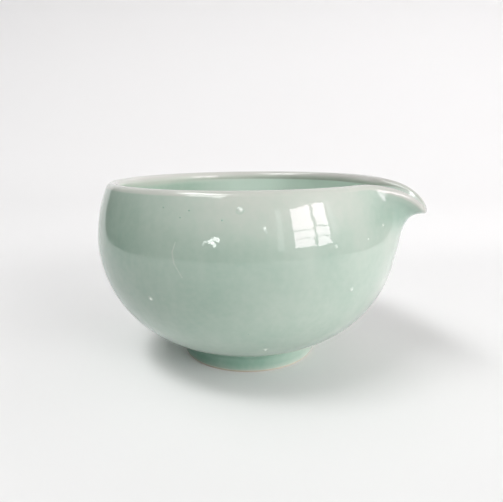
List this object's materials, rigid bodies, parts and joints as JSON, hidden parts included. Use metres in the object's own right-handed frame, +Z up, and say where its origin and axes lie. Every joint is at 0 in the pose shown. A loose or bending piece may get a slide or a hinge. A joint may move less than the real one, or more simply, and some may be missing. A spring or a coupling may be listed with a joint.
{
  "type": "spouted bowl",
  "caption": "Round tea bowl with a rounded belly, a drawn-out pouring lip on one side and a low foot ring, glazed inside and out.",
  "frame": {"origin": "on the table under the middle of the bounding box, midway between the back of the bowl and the tip of the spout; the bowl's own axis is 5 mm behind it, at x = -0.005", "axes": "+Z up along the bowl's axis, +X towards the spout, +Y to the left seen from behind the bowl"},
  "size_m": [0.135, 0.125, 0.0752],
  "materials": {
    "clay": "fired, unglazed, matt cream",
    "celadon_glaze": "glossy pale green glaze"
  },
  "bodies": {
    "root": {"thrown_bowl": "clay", "spout": "clay", "foot_ring": "clay", "outer_glaze": "celadon_glaze", "inner_glaze": "celadon_glaze", "foot_well_glaze": "celadon_glaze"}
  },
  "joints": []
}
